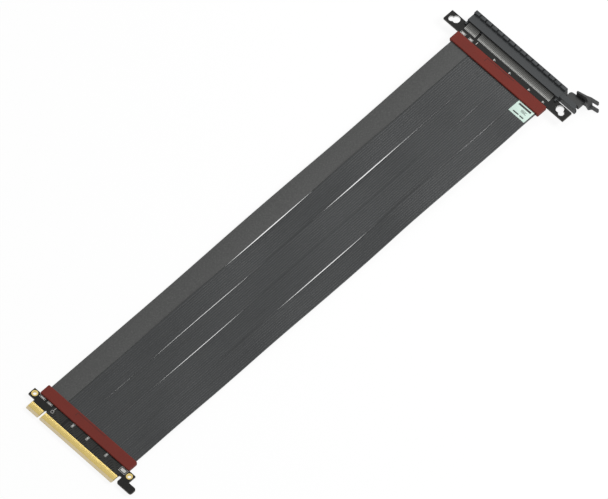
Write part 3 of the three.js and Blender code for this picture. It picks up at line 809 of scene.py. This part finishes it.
# %% Metal finishes
def metal_finish(name, color, roughness, bump=0.0004, tone=0.02, spread=0.02):
    """Metal; bump is in mm, and the roughness varies by the spread to each side."""
    material, tree, shader = start_material(name)
    toned = place_group(tree, tone_group, Color=(*color, 1.0), Amount=tone, Scale=700.0)
    grained = place_group(tree, grain_group, Scale=4000.0)
    fill_inputs(tree, shader, {
        "Base Color": toned["Color"],
        "Roughness": near_value(tree, toned["Mask"], roughness, spread),
        "Normal": bumped(tree, grained["Height"], bump),
        "Metallic": 1.0,
    })
    return material


gold_plating = metal_finish("gold_plating", (0.62, 0.48, 0.17), roughness=0.34)
tin_plating = metal_finish("tin_plating", (0.24, 0.24, 0.23), roughness=0.42)

# %% Where the contacts are
contact_pitch = 1.0 * MM
board_thick = 1.6 * MM
male_top_z = male_plane_z + board_thick / 2
socket_top_z = socket_plane_z + board_thick / 2


def contact_rows(group):
    """Middle of each contact along Y, from the range of its strip."""
    low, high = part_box("contact_strip_upper_" + group)
    count = round((high[1] - low[1]) / contact_pitch)
    return [high[1] - contact_pitch * (i + 0.5) for i in range(count)]


contact_ys = contact_rows("short") + contact_rows("long")
print("contacts in one row:", len(contact_ys))

# %% Gold fingers
finger_wide = 0.74 * MM
finger_start = tip_x + 1.86 * MM
finger_end = tip_x + 6.64 * MM
plating_top = 0.06 * MM
plating_sunk = 0.02 * MM
fingers = bmesh.new()
for y in contact_ys:
    for side in (-1, 1):
        low_z, high_z = layer(
            male_plane_z + side * board_thick / 2, side, plating_sunk, plating_top)
        add_box(
            fingers,
            (finger_start, y - finger_wide / 2, low_z),
            (finger_end, y + finger_wide / 2, high_z),
            bevel=plating_sunk)
make_piece("gold_fingers", fingers, [gold_plating])


# %% Plated holes of the card-edge board
def add_ring(bm, x, y, inner, outer, z_low, z_high, sides=48, chamfer=0.02 * MM):
    """Flat ring with a lined hole: a small section turned round the hole's axis."""
    section = [
        (inner + chamfer, z_high), (outer - chamfer, z_high), (outer, z_high - chamfer),
        (outer, z_low + chamfer), (outer - chamfer, z_low), (inner + chamfer, z_low),
        (inner, z_low + chamfer), (inner, z_high - chamfer),
    ]
    rings = []
    for i in range(sides):
        angle = 2 * math.pi * i / sides
        rings.append([
            bm.verts.new((x + r * math.cos(angle), y + r * math.sin(angle), z))
            for r, z in section])
    join_rings(bm, rings, closed=True)


hole_x = tip_x + 12.2 * MM
hole_inset = 3.0 * MM
hook_past = 7.6 * MM
lining_r = 1.44 * MM
ring_r = 2.43 * MM
ring_half = board_thick / 2 + plating_top
hole_ys = (male_board[1][1] - hole_inset, male_board[0][1] + hook_past + hole_inset)
plated = bmesh.new()
for y in hole_ys:
    add_ring(
        plated, hole_x, y, lining_r, ring_r, male_plane_z - ring_half, male_plane_z + ring_half)
make_piece("plated_holes", plated, [gold_plating])

# %% [markdown]
# ## Contacts of the socket
# Each contact is one strip of spring metal: a foot soldered to the board, a tail that climbs to the
# housing, and a spring that bows towards the card. All of a row are held in one black carrier.
# We bend one line, sweep a flat section along it and repeat that at every contact.

# %% Shape of one contact
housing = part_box("socket_housing")
strip_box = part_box("contact_strip_upper_long")
foot_x = strip_box[0][0]
spring_x = strip_box[1][0]
housing_back = foot_x + 5.6 * MM
contact_wide = 0.72 * MM
contact_thick = 0.2 * MM
carrier_low = 1.36 * MM
carrier_high = 2.84 * MM
carrier_back = housing_back + 0.12 * MM
carrier_front = housing_back + 1.88 * MM

# Each point: its place along X, and its height from the board's middle plane in mm.
tail_line = [
    (foot_x, 0.96), (foot_x + 1.3 * MM, 0.96), (foot_x + 1.9 * MM, 1.12),
    (housing_back - 0.9 * MM, 2.1), (housing_back - 0.2 * MM, 2.28),
    (housing_back + 0.6 * MM, 2.3),
]
spring_line = [
    (carrier_front - 0.5 * MM, 2.0), (carrier_front + 0.8 * MM, 1.9),
    (carrier_front + 2.6 * MM, 1.25), (carrier_front + 4.2 * MM, 0.72),
    (carrier_front + 4.75 * MM, 0.68), (spring_x, 0.88),
]
contact_section = rectangle(contact_wide / 2, contact_thick / 2)
bend_step = 0.45 * MM
carrier_bevel = 0.08 * MM

# %% Shade on the tails: the closer to the housing, the less light reaches them
deep_tin = (0.045, 0.045, 0.043, 1.0)
shade_start = foot_x + 1.0 * MM
shade_full = housing_back - 0.4 * MM
tin_tree = tin_plating.node_tree
tin_shader = tin_tree.nodes["Principled BSDF"]
tin_color = tin_shader.inputs["Base Color"].links[0].from_socket
tin_x = split_axes(tin_tree, own_place(tin_tree))["X"]
tin_share = map_range(tin_tree, tin_x, From_Min=shade_start, From_Max=shade_full)
fill_inputs(tin_tree, tin_shader, {
    "Base Color": mix_colors(tin_tree, tin_share, tin_color, deep_tin)})


# %% Contact strips
def contact_strip(side_name, group):
    """Piece for one carrier with its contacts, above or below the middle plane."""
    side = 1 if side_name == "upper" else -1
    rows = contact_rows(group)
    strip = bmesh.new()
    for line in (tail_line, spring_line):
        curve = smooth_curve([(x, 0.0, rise * MM) for x, rise in line], bend_step)
        for y in rows:
            path = [Vector((p.x, y, socket_plane_z + side * p.z)) for p in curve]
            add_sweep(strip, path, contact_section)
    low_z, high_z = layer(socket_plane_z, side, -carrier_low, carrier_high)
    add_box(
        strip,
        (carrier_back, rows[-1] - contact_pitch / 2, low_z),
        (carrier_front, rows[0] + contact_pitch / 2, high_z),
        bevel=carrier_bevel, material_index=1)
    node = f"contact_strip_{side_name}_{group}"
    made = make_piece(
        f"contacts_{side_name}_{group}", strip, [tin_plating, housing_plastic])
    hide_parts(node)


for side_name in ("upper", "lower"):
    for group in ("short", "long"):
        contact_strip(side_name, group)

# %% Solder below the feet
solder = metal_finish(
    "solder", (0.50, 0.50, 0.49), roughness=0.35, bump=0.006, tone=0.05, spread=0.04)
pad_back = foot_x - 0.3 * MM
pad_front = foot_x + 1.9 * MM
pad_half = 0.33 * MM
pad_sunk = 0.02 * MM
pad_high = 0.07 * MM
pad_bevel = 0.03 * MM
pads = bmesh.new()
for side in (-1, 1):
    low_z, high_z = layer(socket_plane_z + side * board_thick / 2, side, pad_sunk, pad_high)
    for y in contact_ys:
        add_box(
            pads, (pad_back, y - pad_half, low_z), (pad_front, y + pad_half, high_z),
            bevel=pad_bevel)
make_piece("solder_pads", pads, [solder])

# %% [markdown]
# ## Copper tracks
# Between the gold fingers and the strain relief the picture shows bundles of tracks below the mask:
# they leave the fingers, all step sideways round the same corner and run on to the ribbons.
# A track is a very low ridge, so each is a flat strip swept along its line.

# %% Tracks below the mask
track_finish = board_finish("mask_over_copper", track_color, track_color)
track_wide = 1.05 * MM
track_high = 0.03 * MM
track_slope = 0.03 * MM
track_step = 1.1 * MM
track_pitch = 1.7 * MM
track_lead = 1.2 * MM
track_start = tip_x + finger_zone
track_gap = 0.05 * MM
track_stop = male_relief[0][0] - track_gap
track_spacing = 0.5 * MM
bundle_size = 6
bundle_shift = 5.0 * MM
bundle_closing = 0.3 * MM
corner = 0.8 * MM
corner_in = 0.15 * MM
corner_past = 0.2 * MM
# Place of each bundle's first track along Y, in mm.
bundle_tops = [33.5, 18.0, 4.0, -10.0, -23.0]
track_section = [
    (track_wide / 2, 0.0), (track_wide / 2 - track_slope, track_high),
    (track_slope - track_wide / 2, track_high), (-track_wide / 2, 0.0),
]
tracks = bmesh.new()
for top in bundle_tops:
    for k in range(bundle_size):
        y = top * MM - k * track_pitch
        turn_x = track_start + track_lead + (bundle_size - 1 - k) * track_step
        end_y = y - bundle_shift + k * bundle_closing
        route = [
            (track_start, y), (turn_x - corner, y), (turn_x - corner_in, y - corner_past),
            (turn_x, y - corner), (turn_x, end_y + corner),
            (turn_x + corner_in, end_y + corner_past), (turn_x + corner, end_y),
            (track_stop, end_y),
        ]
        add_flat_sweep(
            tracks, [(x, route_y, male_top_z) for x, route_y in route], track_section,
            track_spacing)
make_piece("copper_tracks", tracks, [track_finish])

# %% [markdown]
# ## Print on the boards
# The boards carry small pale marks beside the strain reliefs. Ours are plain frames and dashes.

# %% Marks
mark_paint = matte_finish(
    "mark_paint", (0.55, 0.55, 0.53), roughness=0.6, grain=0.2, bump=0.004, tone=0.15, dust=0.0)
mark_line = 0.22 * MM
mark_high = 0.025 * MM


def add_mark(bm, x_low, y_low, x_high, y_high, z, framed=False):
    """Filled mark, or the four sides of a frame."""
    if not framed:
        add_box(bm, (x_low, y_low, z), (x_high, y_high, z + mark_high))
        return
    add_mark(bm, x_low, y_low, x_low + mark_line, y_high, z)
    add_mark(bm, x_high - mark_line, y_low, x_high, y_high, z)
    add_mark(bm, x_low + mark_line, y_low, x_high - mark_line, y_low + mark_line, z)
    add_mark(bm, x_low + mark_line, y_high - mark_line, x_high - mark_line, y_high, z)


# Each mark: its lower and upper corner, in mm from the strain relief's face and from the ribbons'
# centre line, and whether it is a frame.
male_marks = [
    (-2.0, 37.3, -0.25, 42.6, True), (-1.5, 38.2, -0.8, 41.7, False),
    (-2.0, 30.6, -0.25, 35.1, True), (-1.5, 31.4, -0.8, 34.3, False),
    (-3.4, 26.9, -0.25, 27.2, False), (-5.5, 26.0, -3.4, 28.1, True),
    (-3.6, 8.3, -0.3, 9.9, True), (-3.0, 8.8, -0.9, 9.4, False),
    (-3.6, -6.2, -0.3, -4.6, True), (-3.0, -5.7, -0.9, -5.1, False),
    (-3.6, -24.7, -0.3, -23.1, True), (-3.0, -24.2, -0.9, -23.6, False),
    (-4.3, -44.2, -0.25, -38.1, True), (-3.4, -43.2, -1.1, -39.1, False),
]
socket_marks = [
    (0.4, 37.8, 2.2, 42.4, True), (0.8, 38.6, 1.8, 41.6, False),
    (0.4, 30.8, 2.2, 34.5, True), (0.8, 31.5, 1.8, 33.8, False),
    (1.1, 27.3, 3.3, 27.8, False),
    (0.7, 9.2, 2.2, 10.0, False), (1.1, 8.3, 1.7, 8.8, False),
    (0.7, -5.8, 2.2, -5.0, False), (1.1, -6.7, 1.7, -6.2, False),
    (0.7, -24.8, 2.2, -24.0, False), (1.1, -25.7, 1.7, -25.2, False),
    (0.7, -38.8, 2.2, -38.0, False), (1.1, -39.7, 1.7, -39.2, False),
]
centre_y = (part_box("ribbon_power")[1][1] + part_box("ribbon_signal_4")[0][1]) / 2
for name, marks, face_x, top_z in (
    ("card_edge_marks", male_marks, male_relief[0][0], male_top_z + track_high),
    ("socket_marks", socket_marks, socket_relief[1][0], socket_top_z),
):
    printed = bmesh.new()
    for x_low, y_low, x_high, y_high, framed in marks:
        add_mark(
            printed, face_x + x_low * MM, centre_y + y_low * MM,
            face_x + x_high * MM, centre_y + y_high * MM, top_z, framed)
    make_piece(name, printed, [mark_paint])

# %% [markdown]
# ## Last details
# The blocks along the socket's mouth stand higher than those of the imported model, each with its own
# cap. The engraved lines of the strain reliefs get a dark strip, a painted shade for the shade in
# their grooves, and the walls of the keyholes are plated.

# %% Caps on the blocks
block_pitch = 5.66 * MM
block_long = 5.0 * MM
block_count = 16
block_deep = 3.0 * MM
block_grip = 0.2 * MM
cap_inset = 0.2 * MM
cap_high = 1.0 * MM
cap_front = 0.9 * MM
cap_bevel = 0.15 * MM
rim_high = 0.45 * MM
rim_back = 0.7 * MM
rim_front = 0.05 * MM
rim_bevel = 0.1 * MM
front_x, row_high, housing_top = housing[1]
row_low = row_high - (block_count - 1) * block_pitch - block_long
caps = bmesh.new()
for side in (-1, 1):
    face_z = socket_plane_z + side * (housing_top - socket_plane_z)
    low_z, high_z = layer(face_z, side, block_grip, cap_high)
    for i in range(block_count):
        block_y = row_high - i * block_pitch
        add_box(
            caps,
            (front_x - block_deep, block_y - block_long + cap_inset, low_z),
            (front_x - cap_front, block_y - cap_inset, high_z),
            bevel=cap_bevel)
    low_z, high_z = layer(face_z, side, block_grip, rim_high)
    add_box(
        caps, (front_x - rim_back, row_low, low_z), (front_x - rim_front, row_high, high_z),
        bevel=rim_bevel)
make_piece("housing_caps", caps, [housing_plastic])

# %% Painted shade in the engraved frame lines
# A dark red strip on each strain relief's top: painted shade that stands in for the shade inside the
# engraved frame grooves.
groove_shade = matte_finish(
    "groove_shade", (0.055, 0.008, 0.006), roughness=0.7, grain=0.2, bump=0.004, dust=0.0)
line_wide = 0.45 * MM
line_inset = 1.3 * MM
line_sunk = 0.05 * MM
line_high = 0.01 * MM
frame_back = 3.2 * MM
frame_top_y = centre_y + 13.6 * MM
frame_low_y = centre_y - 12.9 * MM
frame_lines = bmesh.new()
for low, high in (male_relief, socket_relief):
    line_x = high[0] - line_inset
    low_z, high_z = layer(high[2], 1, line_sunk, line_high)
    add_box(
        frame_lines, (line_x - line_wide, frame_low_y, low_z), (line_x, frame_top_y, high_z))
    add_box(
        frame_lines, (line_x - frame_back, frame_top_y - line_wide, low_z),
        (line_x - line_wide, frame_top_y, high_z))
make_piece("frame_lines", frame_lines, [groove_shade])

# %% Plated walls of the keyholes
socket_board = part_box("socket_board")
keyhole_past = 5.85 * MM
upper_inset = 7.3 * MM
lower_inset = 8.1 * MM
keyhole_x = socket_relief[1][0] + keyhole_past
large_r = 2.95 * MM
small_r = 2.15 * MM
small_back = 1.8 * MM
small_past = 2.9 * MM
keyholes = [
    (Vector((keyhole_x, socket_board[1][1] - upper_inset, socket_plane_z)), 1),
    (Vector((keyhole_x, socket_board[0][1] + lower_inset, socket_plane_z)), -1),
]
liner_half = 0.03 * MM
liner_proud = 0.01 * MM
liner_tall = board_thick / 2 + liner_proud
liner_section = rectangle(liner_half, liner_tall)
liner_spacing = 1.0 * MM


def arc_outside(centre, radius, other, other_radius, steps=72):
    """Points of a circle that lie outside the other one, in order from the other one's side."""
    start = math.atan2(other.y - centre.y, other.x - centre.x)
    angles = [start + 2 * math.pi * i / steps for i in range(steps + 1)]
    points = [centre + Vector((math.cos(a), math.sin(a), 0.0)) * radius for a in angles]
    return [point for point in points if (point - other).length > other_radius]


liners = bmesh.new()
for large, side in keyholes:
    small = large + Vector((-small_back, side * small_past, 0.0))
    circles = [(large, large_r), (small, small_r)]
    for (centre, radius), (other, other_radius) in (circles, circles[::-1]):
        add_flat_sweep(
            liners, arc_outside(centre, radius - liner_half, other, other_radius),
            liner_section, liner_spacing)
make_piece("keyhole_walls", liners, [solder])
